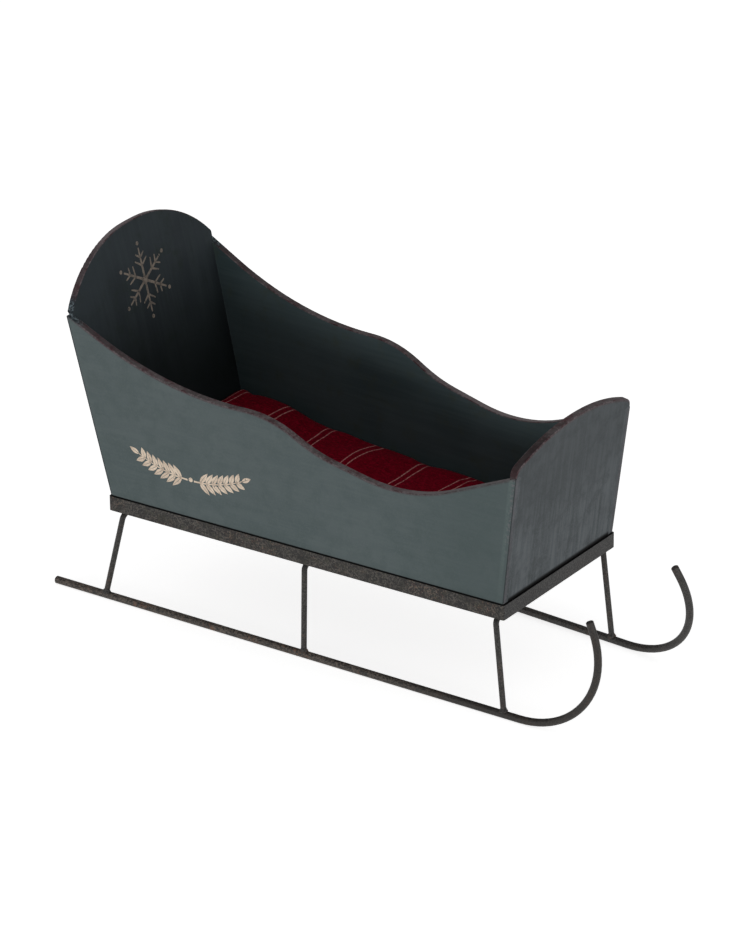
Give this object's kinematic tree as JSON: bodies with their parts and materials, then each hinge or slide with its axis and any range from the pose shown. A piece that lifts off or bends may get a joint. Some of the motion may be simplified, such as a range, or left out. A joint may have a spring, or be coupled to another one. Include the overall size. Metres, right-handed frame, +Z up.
{
  "type": "doll's sleigh",
  "caption": "Small toy sleigh with a painted open box, a tall arched rear panel and a loose cushion, on wire hoops and round-rod runners that curl up at the front.",
  "frame": {"origin": "on the floor under the middle of the bounding box", "axes": "+X the way it travels, +Y its left side, +Z up"},
  "size_m": [0.3376, 0.1244, 0.1888],
  "materials": {
    "painted_wood": "matt paint, worn through on the edges",
    "dark_wood": "dark stain",
    "dark_iron": "dark, speckled with rust",
    "woven_fabric": "woven, with thin pale stripes"
  },
  "bodies": {
    "sleigh": {"floor_board": "dark_wood", "side_left": "painted_wood", "side_right": "painted_wood", "head_panel": "painted_wood", "foot_panel": "painted_wood", "tray_rail_left": "dark_iron", "tray_rail_right": "dark_iron", "tray_rail_front": "dark_iron", "tray_rail_rear": "dark_iron", "hoop_rear": "dark_iron", "hoop_middle": "dark_iron", "hoop_front": "dark_iron", "runner_left": "dark_iron", "runner_right": "dark_iron"},
    "cushion": {"cushion": "woven_fabric"}
  },
  "joints": [
    {"name": "cushion_lift", "type": "slide", "parent": "sleigh", "child": "cushion", "axis": [0, 0, 1], "range_m": [0, 0.135]}
  ]
}
